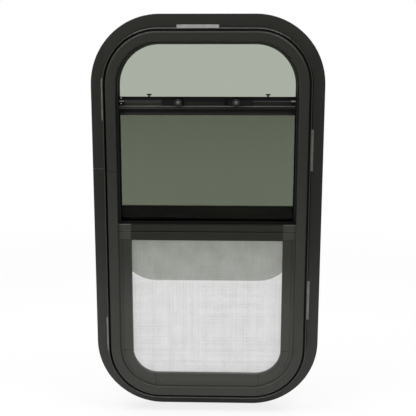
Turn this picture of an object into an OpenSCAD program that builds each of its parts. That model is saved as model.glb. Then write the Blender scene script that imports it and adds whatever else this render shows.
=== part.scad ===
// Vertical sliding window for a touring caravan or camper, seen with its room side towards -Y.
// It stands upright, +Z up, +X to the right as seen from inside, +Y to the outside.
// The origin lies on the flange's seating face, halfway across the bottom run of the flange.
// Pieces are drawn laid flat, with x across, y up from the flange's bottom edge and z towards the room.

/* [Frame] */
// Overall width over the flange
frame_w = 343; // [300:1:460]
// Overall height over the flange
frame_h = 597; // [540:1:760]
// Outer corner radius of the flange
corner_r = 101.6; // [90:0.1:120]
// Width of the flange that seats on the wall's outer face
flange_w = 15; // [12:0.5:20]
// Thickness of the flange
flange_t = 3.2; // [2.8:0.1:4]
// Radius of the flange's soft outer edge
flange_soft_r = 1.2; // [0.6:0.1:1.3]
// Depth of the neck, from the seating face to the front of the ring
neck_d = 31; // [30:0.5:45]
// Width of the low shelf between the flange and the neck
shelf_w = 7; // [5:0.5:9]
// Height of that shelf above the seating face
shelf_h = 1.2; // [0.8:0.1:1.8]
// Distance of the fine line on the shelf from the shelf's outer edge
shelf_line = 3; // [2:0.1:4]
// Side of the small vee that cuts the fine lines of the shelf and sash rail and the slides' grip grooves
fine_line = 1; // [0.5:0.1:1.2]
// Wall between the neck's side and the screw groove
neck_wall = 1.4; // [1.2:0.1:2]
// How far that wall's lip stands back from the ring's front
lip_drop = 1.2; // [0.6:0.1:2]
// Width of the screw groove in the front of the neck
groove_w = 3; // [2.4:0.1:3.6]
// Depth of the screw groove
groove_d = 13; // [8:0.5:16]
// Width of the flat front face of the ring
ring_face_w = 14.4; // [12:0.1:19]
// Radius of the ring's outer front corner
ring_outer_r = 1.2; // [0.6:0.1:1.8]
// Radius of the ring's inner front corner
ring_inner_r = 2; // [1:0.1:2.2]
// Thickness of the ring's front wall over the screen track
ring_front_t = 3.4; // [2.8:0.1:5]
// How far the webs behind stand into the opening past the ring
web_step = 2.1; // [0.5:0.1:2.4]
// Depth that the tracks are cut behind the edge of the webs
track_bite = 6.9; // [6:0.1:7.5]
// Thickness of the webs between the tracks
web_t = 1.8; // [1.4:0.1:2.2]
// Thickness of the outside lip that backs the fixed glass
lip_t = 1.8; // [1.4:0.1:2.2]
// Height of the butt seam in the frame's left side
seam_z = 372; // [300:1:420]
// Gap of the butt seam
seam_gap = 0.4; // [0.2:0.1:0.8]

/* [Drainage] */
// Length of each weep slot in the outside lip
weep_l = 18; // [10:1:30]
// Height of each weep slot
weep_h = 3; // [2:0.5:4]
// Distance of the weep slots from the middle
weep_x = 45; // [30:1:60]

/* [Glass] */
// Thickness of both sheets of glass
glass_t = 3.9; // [3:0.1:4.2]
// How much smaller the moving glass's lower corner radius is than the flange's
sash_corner_in = 44.6; // [44:0.1:56]
// Clearance between the edges of parts and the tracks that hold them
edge_gap = 0.3; // [0.2:0.05:0.4]
// Wall of the rubber that lines the fixed glass's track
gasket_t = 1.1; // [0.8:0.1:1.3]
// How far that rubber stays back from the edge of the webs
gasket_back = 0.6; // [0.4:0.1:1]

/* [Meeting rail] */
// Height of the fixed glass's lower rail
meet_h = 25.5; // [22:0.5:32]
// Share of the frame's height at which that rail's top edge lies
meet_share = 0.532; // [0.5:0.002:0.56]
// Depth of the slot that the fixed glass stands in
meet_slot_d = 9; // [6:0.5:11]
// Height of the hollow in the rail's underside
meet_hollow_h = 10; // [6:0.5:12]
// Height of the lip that covers the web on the room side
meet_lip_h = 12; // [11:0.5:16]
// Height of the pile strip in that lip
pile_strip_h = 5; // [4:0.5:7]
// Depth that the pile strip is let into the lip
pile_seat = 1.2; // [0.8:0.1:1.4]

/* [Sash] */
// Share of its travel that the sash is raised
raised = 1; // [0:0.01:1]
// Distance from the fully raised rail up to the start of the round corners
raise_gap = 15.9; // [8:0.1:24]
// Height of the sash's top rail
rail_h = 26.4; // [26:0.1:30]
// Depth of the glass in the sash's top rail
rail_slot_d = 11; // [8:0.5:12]
// Thickness of the rail's wall in front of the glass
rail_wall = 2.2; // [1.6:0.1:2.6]
// Height of the finger ridge along the rail
ridge_h = 5; // [4:0.5:5.5]
// Height of the ridge's upper bevel
ridge_bevel = 1.6; // [1:0.1:2]
// Height of the latch channel in the rail
latch_channel_h = 8.6; // [7.5:0.1:9]
// Depth of the latch channel
latch_channel_d = 5.5; // [5:0.1:6.5]
// Height of the lip above the latch channel
rail_lip_h = 4.1; // [3:0.1:4.5]
// How far that lip's lower edge is undercut
lip_lean = 1.5; // [0.5:0.1:2]
// Length of the end caps
end_cap_l = 7; // [5:0.5:12]

/* [Latches] */
// Distance of the latch knobs from the middle
knob_x = 41.7; // [36:0.1:60]
// Length of each slide outside its knob
slide_out = 24.1; // [18:0.1:30]
// Length of the left slide inside its knob
slide_in_left = 8.4; // [7:0.1:18]
// Length of the right slide inside its knob
slide_in_right = 17; // [7:0.1:18]
// How far the slides stay back from the front of the rail
slide_back = 0.8; // [0.5:0.1:1.5]
// Spacing of the fine grip grooves at a slide's inner end
grip_pitch = 1.6; // [1.2:0.1:2]
// Diameter of the knobs
knob_d = 11; // [9:0.5:12]
// Thickness of the knobs in front of the rail
knob_t = 4.2; // [3:0.1:6]
// Diameter of the necks that join the knobs to their slides
knob_neck_d = 6.4; // [5:0.1:7]
// Width of the sunk ring in the knobs' front
knob_ring_w = 1.4; // [1:0.1:1.6]
// Diameter of the bolt rods
bolt_d = 2.4; // [2:0.1:2.6]
// Height of the bolt rods above the middle of the channel
bolt_rise = 2.2; // [1.6:0.1:2.9]
// How far the bolt rods reach past the rail's ends
bolt_reach = 2; // [1:0.1:3]
// Distance of the stop pads from the rail's ends
pad_in = 40.9; // [32:0.1:52]
// How far both stop pads sit to the right of an even spacing
pad_shift = 1.8; // [0:0.1:3]
// Length of the stop pads
pad_l = 6.5; // [5:0.5:9]
// Height of the stop pads
pad_h = 2; // [1.5:0.1:4]
// Length of the foot that carries each stop pad
pad_foot_l = 2.2; // [1.5:0.1:4]
// Height of that foot
pad_foot_h = 2; // [1:0.1:2.4]

/* [Guides] */
// Wall of the guide channels
guide_t = 1.2; // [0.8:0.1:1.4]
// Height of the pile in the guide channels
pile_t = 0.9; // [0.5:0.1:1.1]
// How far the guide channels stand past the edge of the webs
guide_proud = 1.4; // [0.8:0.1:2]

/* [Screen] */
// Width of the screen's stiles
stile_w = 20.6; // [17:0.1:23]
// Height of the screen's bottom rail
bottom_rail_w = 22.2; // [20:0.1:28]
// Height of the screen's top rail
top_rail_w = 26.9; // [24:0.1:30]
// Distance from the meeting rail's top edge down to the screen's top edge
screen_below = 21; // [18:0.5:24]
// Thickness of the screen's frame
screen_t = 7; // [6.4:0.1:7]
// Depth that the screen's edges stand in their track
screen_bite = 4.2; // [3:0.1:5]
// Inner corner radius of the screen's lower corners
screen_inner_r = 38; // [30:1:42]
// How far the corner pieces reach up past the inner round
corner_reach = -1.2; // [-8:0.1:6]
// How far the corner pieces reach along the bottom rail past the inner round
corner_along = -3.6; // [-6:0.1:4]
// Length of the square keys at the screen's upper corners
key_l = 20.4; // [17:0.1:24]
// Height of the step along the screen's top edge
top_step_h = 3.4; // [1.5:0.1:4]
// Depth of that step
top_step_d = 2.2; // [0.8:0.1:2.5]
// Distance of the fine line along the top rail from the top edge
rail_line_z = 14; // [10:0.1:16]
// Distance of the fine line round the screen from its outer edge
screen_line_in = 7.6; // [6:0.1:9]
// Side of the small vee that cuts the fine line along the top rail
rail_vee = 1.6; // [0.8:0.1:1.8]
// Side of the small vee that cuts the fine line round the screen
edge_vee = 0.5; // [0.3:0.1:1.2]
// Side of the small vee at the seams of the screen's pieces
seam_vee = 1; // [0.5:0.1:1.2]
// Width and depth of the groove for the cord that holds the mesh
spline_d = 3.2; // [2.6:0.1:4]
// Distance from the screen's inner edge to the far side of that groove
spline_in = 5; // [4.5:0.1:6]
// Thickness of the mesh
mesh_t = 0.5; // [0.3:0.1:0.8]
// Number of openings across the coarse grid that stands for the mesh
mesh_columns = 12; // [8:1:12]
// Number of openings down that grid
mesh_rows = 12; // [8:1:12]
// Width of the bars of that grid
mesh_bar = 2.4; // [1.6:0.1:4]

/* [Strips] */
// Length of each pale strip
strip_l = 61; // [40:1:70]
// Width of each pale strip
strip_w = 6.2; // [4:0.1:6.4]
// Thickness of each pale strip
strip_t = 1; // [0.5:0.1:1.6]
// Gap between a strip and the shelf's outer edge
strip_in = 0.4; // [0.2:0.1:0.6]
// Distance of the top strip to the left of the middle
strip_top_x = 14; // [0:1:30]
// Distance from the frame's top edge down to the upper left strip's middle
strip_left_upper = 122; // [100:1:200]
// Distance from the frame's top edge down to the upper right strip's middle
strip_right_upper = 196; // [100:1:220]
// Height of the lower left strip's middle above the frame's bottom edge
strip_left_lower = 111; // [100:1:200]
// Height of the lower right strip's middle above the frame's bottom edge
strip_right_lower = 171; // [100:1:200]

/* [Hidden] */
$fn = 96;
over = 1;
eps = 0.02;
soft_r = 0.6;
quarter = 90;
half_turn = 45;

// Distances in from the flange's outer edge
neck_u = flange_w + shelf_w;
groove_u = neck_u + neck_wall;
ring_u = groove_u + groove_w;
ring_in_u = ring_u + ring_face_w;
reveal_u = ring_in_u + web_step;
track_u = reveal_u - track_bite;
screen_u = reveal_u - screen_bite;

// Heights above the seating face, towards the room
glaze_v0 = lip_t - flange_t;
glaze_v1 = glaze_v0 + glass_t + 2 * gasket_t + 2 * edge_gap;
guide_v0 = glaze_v1 + web_t;
screen_v1 = neck_d - ring_front_t;
screen_v0 = screen_v1 - screen_t - 2 * edge_gap;
guide_v1 = screen_v0 - web_t;
glass_v0 = glaze_v0 + gasket_t + edge_gap;
sash_mid_v = (guide_v0 + guide_v1) / 2;
sash_v0 = sash_mid_v - glass_t / 2;
sash_v1 = sash_v0 + glass_t;
lining_t = guide_t + pile_t;

// Half widths of the openings and of the parts that run in them
half_w = frame_w / 2;
reveal_x = half_w - reveal_u;
track_x = half_w - track_u;
sash_x = track_x - lining_t - edge_gap;
rail_x = reveal_x - guide_proud - edge_gap;
cap_x = rail_x - end_cap_l;
pad_x = rail_x - pad_in;

// Heights above the flange's bottom edge
straight_z0 = corner_r;
straight_z1 = frame_h - corner_r;
meet_top_z = frame_h * meet_share;
meet_z0 = meet_top_z - meet_h;
closed_z = reveal_u + edge_gap;
travel = straight_z1 - raise_gap - meet_top_z;
sash_z0 = closed_z + raised * travel;
rail_z1 = meet_top_z + raised * travel;
rail_z0 = rail_z1 - rail_h;
rail_slot_z = rail_z0 + rail_slot_d;
channel_z1 = rail_z1 - rail_lip_h;
channel_z0 = channel_z1 - latch_channel_h;
ridge_z0 = channel_z0 - ridge_h;
latch_z = (channel_z0 + channel_z1) / 2;
bolt_z = latch_z + bolt_rise;
guide_top_z = straight_z1 - raise_gap + edge_gap;

// Depths of the sash's rail and latches
rail_v0 = guide_v0 + edge_gap;
rail_v1 = guide_v1 + edge_gap;
wall_v = sash_v1 + rail_wall;
channel_v = rail_v1 - latch_channel_d;
slide_v1 = rail_v1 - slide_back;
bolt_v = channel_v + edge_gap + bolt_d / 2;

// Screen frame and strips
screen_x = half_w - screen_u;
screen_in_x = screen_x - stile_w;
screen_in_z = screen_u + bottom_rail_w;
screen_z1 = meet_top_z - screen_below;
screen_rail_z = screen_z1 - top_rail_w;
screen_base_v = screen_v0 + edge_gap;
screen_front_v = screen_base_v + screen_t;
seam_x = screen_in_x - screen_inner_r - corner_along;
corner_z = screen_in_z + screen_inner_r + corner_reach;
strip_u = flange_w + strip_in;
sash_corner_r = corner_r - sash_corner_in;

module upright() translate([0, 0, -flange_w / 2]) rotate([quarter, 0, 0]) children();

// One closed loop of a bent profile, drawn as distance in from the edge and height
module bent_loop(w, h, r) {
  for (k = [0:3]) {
    side = (k == 0 || k == 3) ? 1 : -1;
    y = (k < 2) ? h - r : r;
    run = (k % 2 == 0) ? h - 2 * r : w - 2 * r;
    translate([side * (w / 2 - r), y, 0]) rotate(quarter * k) {
      rotate_extrude(angle = quarter) turned(r) children();
      rotate([quarter, 0, 0]) linear_extrude(run) turned(r) children();
    }
  }
}

module turned(r) mirror([1, 0]) translate([-r, 0]) children();

// Rectangle with four soft corners
module soft_rect(x0, y0, x1, y1, r) {
  translate([x0 + r, y0]) square([x1 - x0 - 2 * r, y1 - y0]);
  translate([x0, y0 + r]) square([x1 - x0, y1 - y0 - 2 * r]);
  for (x = [x0 + r, x1 - r], y = [y0 + r, y1 - r]) translate([x, y]) circle(r);
}

// Shape with round upper corners and a straight lower edge
module arched(w, y0, y1, r) {
  translate([-w / 2, y0]) square([w, y1 - r - y0]);
  translate([-w / 2 + r, y0]) square([w - 2 * r, y1 - y0]);
  for (x = [-w / 2 + r, w / 2 - r]) translate([x, y1 - r]) circle(r);
}

// Shape with round lower corners and a straight upper edge
module cupped(w, y0, y1, r) translate([0, y0 + y1]) mirror([0, 1]) arched(w, y0, y1, r);

// Small vee for a fine line, drawn across the line
module vee(side) rotate(half_turn) square(side, center = true);

// Front end of the ring, soft at both corners
module ring_nose() {
  base_v = neck_d - ring_inner_r;
  translate([ring_u, 0]) square([ring_in_u - ring_u, base_v]);
  translate([ring_u, 0]) square([ring_outer_r, neck_d - ring_outer_r]);
  translate([ring_u + ring_outer_r, 0]) square([ring_face_w - ring_outer_r - ring_inner_r, neck_d]);
  translate([ring_u + ring_outer_r, neck_d - ring_outer_r]) circle(ring_outer_r);
  translate([ring_in_u - ring_inner_r, base_v]) circle(ring_inner_r);
}

module frame_profile() difference() {
  union() {
    soft_rect(0, -flange_t, neck_u + 2 * flange_soft_r, 0, flange_soft_r);
    translate([flange_w, -flange_t / 2]) square([shelf_w + eps, shelf_h + flange_t / 2]);
    soft_rect(neck_u, -flange_t, groove_u, neck_d - lip_drop, neck_wall / 2 - eps);
    soft_rect(flange_w, -flange_t, reveal_u, screen_v0, soft_r);
    ring_nose();
  }
  square([flange_w, neck_d]);
  translate([flange_w, shelf_h]) square([shelf_w, neck_d]);
  translate([flange_w + shelf_line, shelf_h]) vee(fine_line);
  translate([groove_u, neck_d - groove_d]) square([groove_w, groove_d]);
  translate([track_u, glaze_v0]) square([track_bite + over, glaze_v1 - glaze_v0]);
  translate([track_u, guide_v0]) square([track_bite + over, guide_v1 - guide_v0]);
  translate([screen_u - edge_gap, screen_v0]) square([screen_bite + edge_gap + over, screen_v1 - screen_v0]);
}

module outer_frame() color([0.17, 0.18, 0.17]) upright() difference() {
  bent_loop(frame_w, frame_h, corner_r) frame_profile();
  translate([-half_w - over, seam_z, -flange_t - over])
    cube([reveal_u + 2 * over, seam_gap, neck_d + flange_t + 2 * over]);
  for (x = [-weep_x, weep_x]) translate([x - weep_l / 2, reveal_u - weep_h, -flange_t - over])
    cube([weep_l, weep_h + over, lip_t + 2 * over]);
}

module fixed_glass() color([0.55, 0.6, 0.55, 0.5]) upright() translate([0, 0, glass_v0]) {
  u = track_u + gasket_t + edge_gap;
  z0 = meet_top_z - meet_slot_d + edge_gap;
  linear_extrude(glass_t) arched(frame_w - 2 * u, z0, frame_h - u, corner_r - u);
}

// Rubber of U section round the fixed glass's sides and top
module glazing_gasket() color([0.05, 0.05, 0.05]) upright() {
  u0 = track_u + edge_gap / 2;
  u1 = reveal_u - gasket_back;
  slot_u = track_u + gasket_t;
  v0 = glaze_v0 + edge_gap / 2;
  difference() {
    translate([0, 0, v0]) linear_extrude(glaze_v1 - glaze_v0 - edge_gap) difference() {
      arched(frame_w - 2 * u0, meet_top_z, frame_h - u0, corner_r - u0);
      translate([0, -over]) arched(frame_w - 2 * u1, meet_top_z, frame_h - u1 + over, corner_r - u1);
    }
    translate([0, 0, glass_v0 - edge_gap / 2]) linear_extrude(glass_t + edge_gap)
      arched(frame_w - 2 * slot_u, meet_top_z - over, frame_h - slot_u, corner_r - slot_u);
  }
}

// Lower rail of the fixed glass, across the middle of the frame
module meeting_rail() color([0.04, 0.04, 0.04]) upright() {
  v0 = glaze_v0 + edge_gap;
  v1 = glaze_v1 - edge_gap;
  lip_v = v1 + web_t;
  x1 = track_x - edge_gap;
  lip_x = reveal_x - edge_gap;
  difference() {
    union() {
      translate([-x1, meet_z0, v0]) cube([2 * x1, meet_h, v1 - v0]);
      translate([-lip_x, meet_z0, v1 - eps]) cube([2 * lip_x, meet_lip_h, web_t + eps]);
    }
    translate([-half_w, meet_top_z - meet_slot_d, glass_v0 - edge_gap / 2])
      cube([frame_w, meet_slot_d + over, glass_t + edge_gap]);
    translate([-half_w, meet_z0 - over, v0 + web_t]) cube([frame_w, meet_hollow_h, v1 - v0 - 2 * web_t]);
    translate([-half_w, meet_z0 + meet_lip_h / 2 - pile_strip_h / 2, lip_v - pile_seat])
      cube([frame_w, pile_strip_h, pile_seat + over]);
    translate([0, meet_z0, lip_v]) rotate([half_turn, 0, 0]) cube([frame_w, web_t, web_t], center = true);
  }
}

// Pile strip let into the meeting rail's lip, just clear of the sash's rail
module meeting_rail_seal() color([0.03, 0.03, 0.03]) upright() {
  v0 = glaze_v1 - edge_gap + web_t - pile_seat;
  strip_x = reveal_x - 2 * edge_gap;
  translate([-strip_x, meet_z0 + meet_lip_h / 2 - pile_strip_h / 2 + edge_gap / 2, v0])
    cube([2 * strip_x, pile_strip_h - edge_gap, rail_v0 - edge_gap / 2 - v0]);
}

module sash_glass() color([0.3, 0.34, 0.28, 0.6]) upright() translate([0, 0, sash_v0])
  linear_extrude(glass_t) cupped(2 * sash_x, sash_z0, rail_slot_z - edge_gap, sash_corner_r);

// Section of the sash's top rail without its ridge, drawn as depth along x and height along y
module rail_profile() difference() {
  polygon([
    [rail_v0, rail_z0 + soft_r], [rail_v0 + soft_r, rail_z0], [wall_v, rail_z0],
    [wall_v + soft_r, rail_z0 + soft_r], [wall_v, ridge_z0], [wall_v, channel_z0],
    [rail_v1 - lip_lean, channel_z0], [rail_v1 - lip_lean, channel_z1], [rail_v1, rail_z1 - soft_r],
    [rail_v1 - soft_r, rail_z1], [rail_v0 + soft_r, rail_z1], [rail_v0, rail_z1 - soft_r]
  ]);
  translate([sash_v0 - edge_gap / 2, rail_z0 - over]) square([glass_t + edge_gap, rail_slot_d + over]);
  translate([channel_v, channel_z0]) square([latch_channel_d + over, latch_channel_h]);
}

// Section of the finger ridge, bevelled on top and with a fine line along its face
module ridge_profile() difference() {
  polygon([
    [wall_v - eps, ridge_z0 + soft_r], [wall_v + soft_r, ridge_z0 + soft_r], [rail_v1 - soft_r, ridge_z0],
    [rail_v1, ridge_z0 + soft_r], [rail_v1, channel_z0 - ridge_bevel],
    [rail_v1 - ridge_bevel, channel_z0], [wall_v - eps, channel_z0]
  ]);
  translate([rail_v1, ridge_z0 + ridge_h / 2]) vee(fine_line);
}

// Sweeps a section given as depth and height across the window
module across(x0, x1)
  translate([x0, 0, 0]) rotate([quarter, 0, quarter]) rotate(quarter) linear_extrude(x1 - x0)
    mirror([0, 1]) children();

module sash_top_rail() color([0.12, 0.12, 0.12]) upright() {
  across(-cap_x, cap_x) rail_profile();
  across(-rail_x, rail_x) ridge_profile();
}

// End block of the sash's top rail, notched for the ridge, with a tongue for the guide channel
module sash_end_cap(side) color([0.03, 0.03, 0.03]) upright() scale([side, 1, 1]) {
  tongue_v = (guide_v1 - guide_v0) / 2 - lining_t - edge_gap;
  tongue_z1 = bolt_z - bolt_d / 2 - edge_gap;
  difference() {
    across(cap_x, rail_x) rail_profile();
    translate([0, ridge_z0, wall_v - edge_gap]) cube([frame_w, ridge_h + edge_gap, neck_d]);
  }
  translate([rail_x - eps, rail_slot_z, sash_mid_v - tongue_v])
    cube([sash_x - rail_x + eps, tongue_z1 - rail_slot_z, 2 * tongue_v]);
}

module latch_slide(side, inside) color([0.05, 0.05, 0.05]) upright() scale([side, 1, 1]) {
  x0 = knob_x - inside;
  difference() {
    translate([x0, channel_z0 + edge_gap, channel_v + edge_gap])
      cube([inside + slide_out, latch_channel_h - 2 * edge_gap, slide_v1 - channel_v - edge_gap]);
    for (k = [1:3]) translate([x0 + k * grip_pitch, 0, slide_v1]) rotate([0, half_turn, 0])
      translate([-fine_line / 2, 0, -fine_line / 2]) cube([fine_line, frame_h, fine_line]);
  }
}

module latch_knob(side) color([0.2, 0.2, 0.2]) upright() scale([side, 1, 1]) translate([knob_x, latch_z, 0]) {
  head_v = rail_v1 + edge_gap;
  ring_r = knob_d / 2 - knob_ring_w / 2;
  translate([0, 0, slide_v1]) cylinder(d = knob_neck_d, h = head_v - slide_v1 + eps);
  rotate_extrude() difference() {
    translate([0, head_v]) square([knob_d / 2 - soft_r, knob_t]);
    translate([ring_r - knob_ring_w, head_v + knob_t - knob_ring_w / 2]) square([knob_ring_w, knob_t]);
  }
  rotate_extrude() translate([knob_d / 2 - soft_r - eps, head_v]) square([soft_r + eps, knob_t - soft_r]);
}

module latch_bolt(side) color([0.3, 0.3, 0.3]) upright() scale([side, 1, 1])
  translate([knob_x + slide_out, bolt_z, bolt_v]) rotate([0, quarter, 0])
    cylinder(d = bolt_d, h = rail_x + bolt_reach - knob_x - slide_out);

// Small stop on top of the rail, a head on a narrower foot
module stop_pad(side) color([0.03, 0.03, 0.03]) upright() {
  x = side * pad_x + pad_shift;
  translate([x - pad_foot_l / 2, rail_z1, sash_v0]) cube([pad_foot_l, pad_foot_h + eps, glass_t]);
  translate([x - pad_l / 2, rail_z1 + pad_foot_h, sash_v0]) cube([pad_l, pad_h, glass_t]);
}

// Lined channel that the sash runs in, with lips that stand past the webs
module guide_channel(side) color([0.03, 0.03, 0.03]) upright() scale([side, 1, 1]) {
  w = guide_v1 - guide_v0 - edge_gap;
  d = track_bite - edge_gap + guide_proud;
  translate([reveal_x - guide_proud, straight_z0, guide_v0 + edge_gap / 2]) difference() {
    cube([d, guide_top_z - straight_z0, w]);
    translate([-over, -over, lining_t]) cube([d - lining_t + over, frame_h, w - 2 * lining_t]);
  }
}

// Seal in the guide track round the bottom of the frame, shaped to the closed glass
module sill_seal() color([0.03, 0.03, 0.03]) upright() {
  u0 = track_u + edge_gap;
  u1 = reveal_u;
  r = sash_corner_r + edge_gap;
  z1 = straight_z0 - edge_gap;
  translate([0, 0, guide_v0 + edge_gap]) linear_extrude(guide_v1 - guide_v0 - 2 * edge_gap) difference() {
    cupped(frame_w - 2 * u0, u0, straight_z0 + corner_r, corner_r - u0);
    cupped(frame_w - 2 * u1, u1, straight_z0 + corner_r + over, corner_r - u1);
    cupped(2 * (sash_x + edge_gap), closed_z - edge_gap, straight_z0 + corner_r + over, r);
    translate([-half_w, z1]) square([frame_w, 2 * corner_r]);
  }
}

// One piece of the screen's frame, cut out of the whole frame by a box
module screen_piece(x0, x1, z0, z1) {
  reach = spline_in - spline_d / 2;
  difference() {
    translate([0, 0, screen_base_v]) linear_extrude(screen_t) difference() {
      intersection() {
        cupped(2 * screen_x, screen_u, screen_z1, corner_r - screen_u);
        translate([x0, z0]) square([x1 - x0, z1 - z0]);
      }
      cupped(2 * screen_in_x, screen_in_z, screen_rail_z, screen_inner_r);
    }
    translate([0, 0, screen_base_v - over]) linear_extrude(spline_d + over) spline_plan(0);
    translate([0, 0, screen_base_v - over]) linear_extrude(mesh_t + edge_gap / 2 + over)
      screen_hole(reach);
  }
}

// Opening of the screen's frame, grown by a distance
module screen_hole(grow)
  cupped(2 * (screen_in_x + grow), screen_in_z - grow, screen_rail_z + grow, screen_inner_r + grow);

// Groove for the cord, or the cord itself with a gap all round
module spline_plan(gap) difference() {
  screen_hole(spline_in - gap);
  screen_hole(spline_in - spline_d + gap);
}

// Step and fine line along the top of the screen
module top_lines() {
  translate([-half_w, screen_z1 - top_step_h, screen_front_v - top_step_d])
    cube([frame_w, top_step_h + over, top_step_d + over]);
  translate([0, screen_z1 - rail_line_z, screen_front_v]) rotate([half_turn, 0, 0])
    cube([frame_w, rail_vee, rail_vee], center = true);
}

// Fine line that follows the screen's outer edge down the sides and round the corners
module edge_line() bent_loop(frame_w, frame_h, corner_r)
  translate([screen_u + screen_line_in, screen_front_v]) vee(edge_vee);

module seam_across(z) translate([0, z, screen_front_v]) rotate([half_turn, 0, 0])
  cube([frame_w, seam_vee, seam_vee], center = true);

module seam_upright(x) translate([x, 0, screen_front_v]) rotate([0, half_turn, 0])
  cube([seam_vee, frame_h, seam_vee], center = true);

module screen_top_rail() color([0.16, 0.17, 0.16]) upright() difference() {
  screen_piece(key_l - screen_x, screen_x - key_l, screen_rail_z, screen_z1);
  top_lines();
}

module screen_key(side) color([0.24, 0.25, 0.24]) upright() scale([side, 1, 1]) difference() {
  screen_piece(screen_x - key_l, half_w, screen_rail_z, screen_z1);
  top_lines();
  seam_across(screen_rail_z);
}

module screen_stile(side) color([0.2, 0.21, 0.2]) upright() scale([side, 1, 1]) difference() {
  screen_piece(screen_in_x - over, half_w, corner_z, screen_rail_z);
  edge_line();
  seam_across(corner_z);
}

module screen_corner(side) color([0.24, 0.25, 0.24]) upright() scale([side, 1, 1]) difference() {
  screen_piece(seam_x, half_w, 0, corner_z);
  edge_line();
  seam_across(corner_z);
  seam_upright(seam_x);
}

module screen_bottom_rail() color([0.24, 0.25, 0.24]) upright() difference() {
  screen_piece(-seam_x, seam_x, 0, corner_z);
  edge_line();
}

module screen_spline() color([0.03, 0.03, 0.03]) upright() translate([0, 0, screen_base_v + mesh_t])
  linear_extrude(spline_d - mesh_t - edge_gap) spline_plan(edge_gap / 2);

// Coarse grid in the place of the woven mesh, with a plain border under the cord
module screen_mesh() color([0.45, 0.45, 0.45, 0.5]) upright() {
  pitch_x = 2 * screen_in_x / mesh_columns;
  pitch_z = (screen_rail_z - screen_in_z) / mesh_rows;
  translate([0, 0, screen_base_v]) linear_extrude(mesh_t) difference() {
    screen_hole(spline_in - spline_d / 2 - edge_gap);
    intersection() {
      screen_hole(-mesh_bar / 2);
      for (i = [0:mesh_columns - 1], k = [0:mesh_rows - 1])
        translate([i * pitch_x - screen_in_x + mesh_bar / 2, screen_in_z + k * pitch_z + mesh_bar / 2])
          square([pitch_x - mesh_bar, pitch_z - mesh_bar]);
    }
  }
}

// Pale strip on the shelf, cut from a whole loop between two heights and on one side
module strip_side(side, z) color([0.7, 0.7, 0.68]) upright() scale([side, 1, 1]) intersection() {
  bent_loop(frame_w, frame_h, corner_r) translate([strip_u, shelf_h]) square([strip_w, strip_t]);
  translate([0, z - strip_l / 2, 0]) cube([half_w, strip_l, neck_d]);
}

module strip_top() color([0.8, 0.8, 0.78]) upright()
  translate([-strip_top_x - strip_l / 2, frame_h - strip_u - strip_w, shelf_h])
    cube([strip_l, strip_w, strip_t]);

outer_frame();
fixed_glass();
glazing_gasket();
meeting_rail();
meeting_rail_seal();
sash_glass();
sash_top_rail();
sash_end_cap(-1);  // sash_end_cap_left
sash_end_cap(1);  // sash_end_cap_right
latch_slide(-1, slide_in_left);  // latch_slide_left
latch_slide(1, slide_in_right);  // latch_slide_right
latch_knob(-1);  // latch_knob_left
latch_knob(1);  // latch_knob_right
latch_bolt(-1);  // latch_bolt_left
latch_bolt(1);  // latch_bolt_right
stop_pad(-1);  // stop_pad_left
stop_pad(1);  // stop_pad_right
guide_channel(-1);  // guide_channel_left
guide_channel(1);  // guide_channel_right
sill_seal();
screen_top_rail();
screen_key(-1);  // screen_key_left
screen_key(1);  // screen_key_right
screen_stile(-1);  // screen_stile_left
screen_stile(1);  // screen_stile_right
screen_corner(-1);  // screen_corner_left
screen_corner(1);  // screen_corner_right
screen_bottom_rail();
screen_spline();
screen_mesh();
strip_top();
strip_side(-1, frame_h - strip_left_upper);
strip_side(1, frame_h - strip_right_upper);
strip_side(-1, strip_left_lower);
strip_side(1, strip_right_lower);
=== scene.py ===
"""Looks of a vertical sliding caravan window: finishes, woven screen, small fittings, light and camera."""

from __future__ import annotations

import logging
import math
from dataclasses import dataclass, field
from enum import Enum

import bmesh
import bpy
from mathutils import Matrix, Vector, noise

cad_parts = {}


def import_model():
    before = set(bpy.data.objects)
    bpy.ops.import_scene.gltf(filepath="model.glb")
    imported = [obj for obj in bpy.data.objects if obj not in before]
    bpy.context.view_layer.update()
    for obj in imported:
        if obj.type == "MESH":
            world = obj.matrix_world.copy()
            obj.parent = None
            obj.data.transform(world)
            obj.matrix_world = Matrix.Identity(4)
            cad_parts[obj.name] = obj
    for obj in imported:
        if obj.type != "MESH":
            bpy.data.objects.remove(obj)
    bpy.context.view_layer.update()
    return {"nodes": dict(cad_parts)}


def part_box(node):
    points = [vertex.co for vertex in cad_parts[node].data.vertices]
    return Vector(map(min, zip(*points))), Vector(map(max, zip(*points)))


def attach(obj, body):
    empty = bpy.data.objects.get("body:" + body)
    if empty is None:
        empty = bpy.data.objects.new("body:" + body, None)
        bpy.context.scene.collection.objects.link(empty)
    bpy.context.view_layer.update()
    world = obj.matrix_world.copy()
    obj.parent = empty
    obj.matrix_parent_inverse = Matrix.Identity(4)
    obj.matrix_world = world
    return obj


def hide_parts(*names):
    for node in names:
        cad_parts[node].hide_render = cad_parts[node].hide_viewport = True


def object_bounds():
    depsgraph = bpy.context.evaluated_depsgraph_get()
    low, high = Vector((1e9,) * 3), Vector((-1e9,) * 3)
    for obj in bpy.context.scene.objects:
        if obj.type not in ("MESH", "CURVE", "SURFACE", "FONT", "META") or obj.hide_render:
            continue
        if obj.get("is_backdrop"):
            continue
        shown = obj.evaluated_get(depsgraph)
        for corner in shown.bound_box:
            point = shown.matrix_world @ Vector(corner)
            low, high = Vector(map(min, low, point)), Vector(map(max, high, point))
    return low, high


LOG = logging.getLogger("caravan_window")
MM = 0.001  # metres
ROOT = "root"  # the window's only body
FAR = 1.0  # a limit outside the whole window, in metres
BEVEL_SHARE = 0.3  # bevel of a bar as a share of its least size

Socket = bpy.types.NodeSocket
Pair = tuple[float, float]
Triple = tuple[float, float, float]
Colour = Triple


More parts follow.
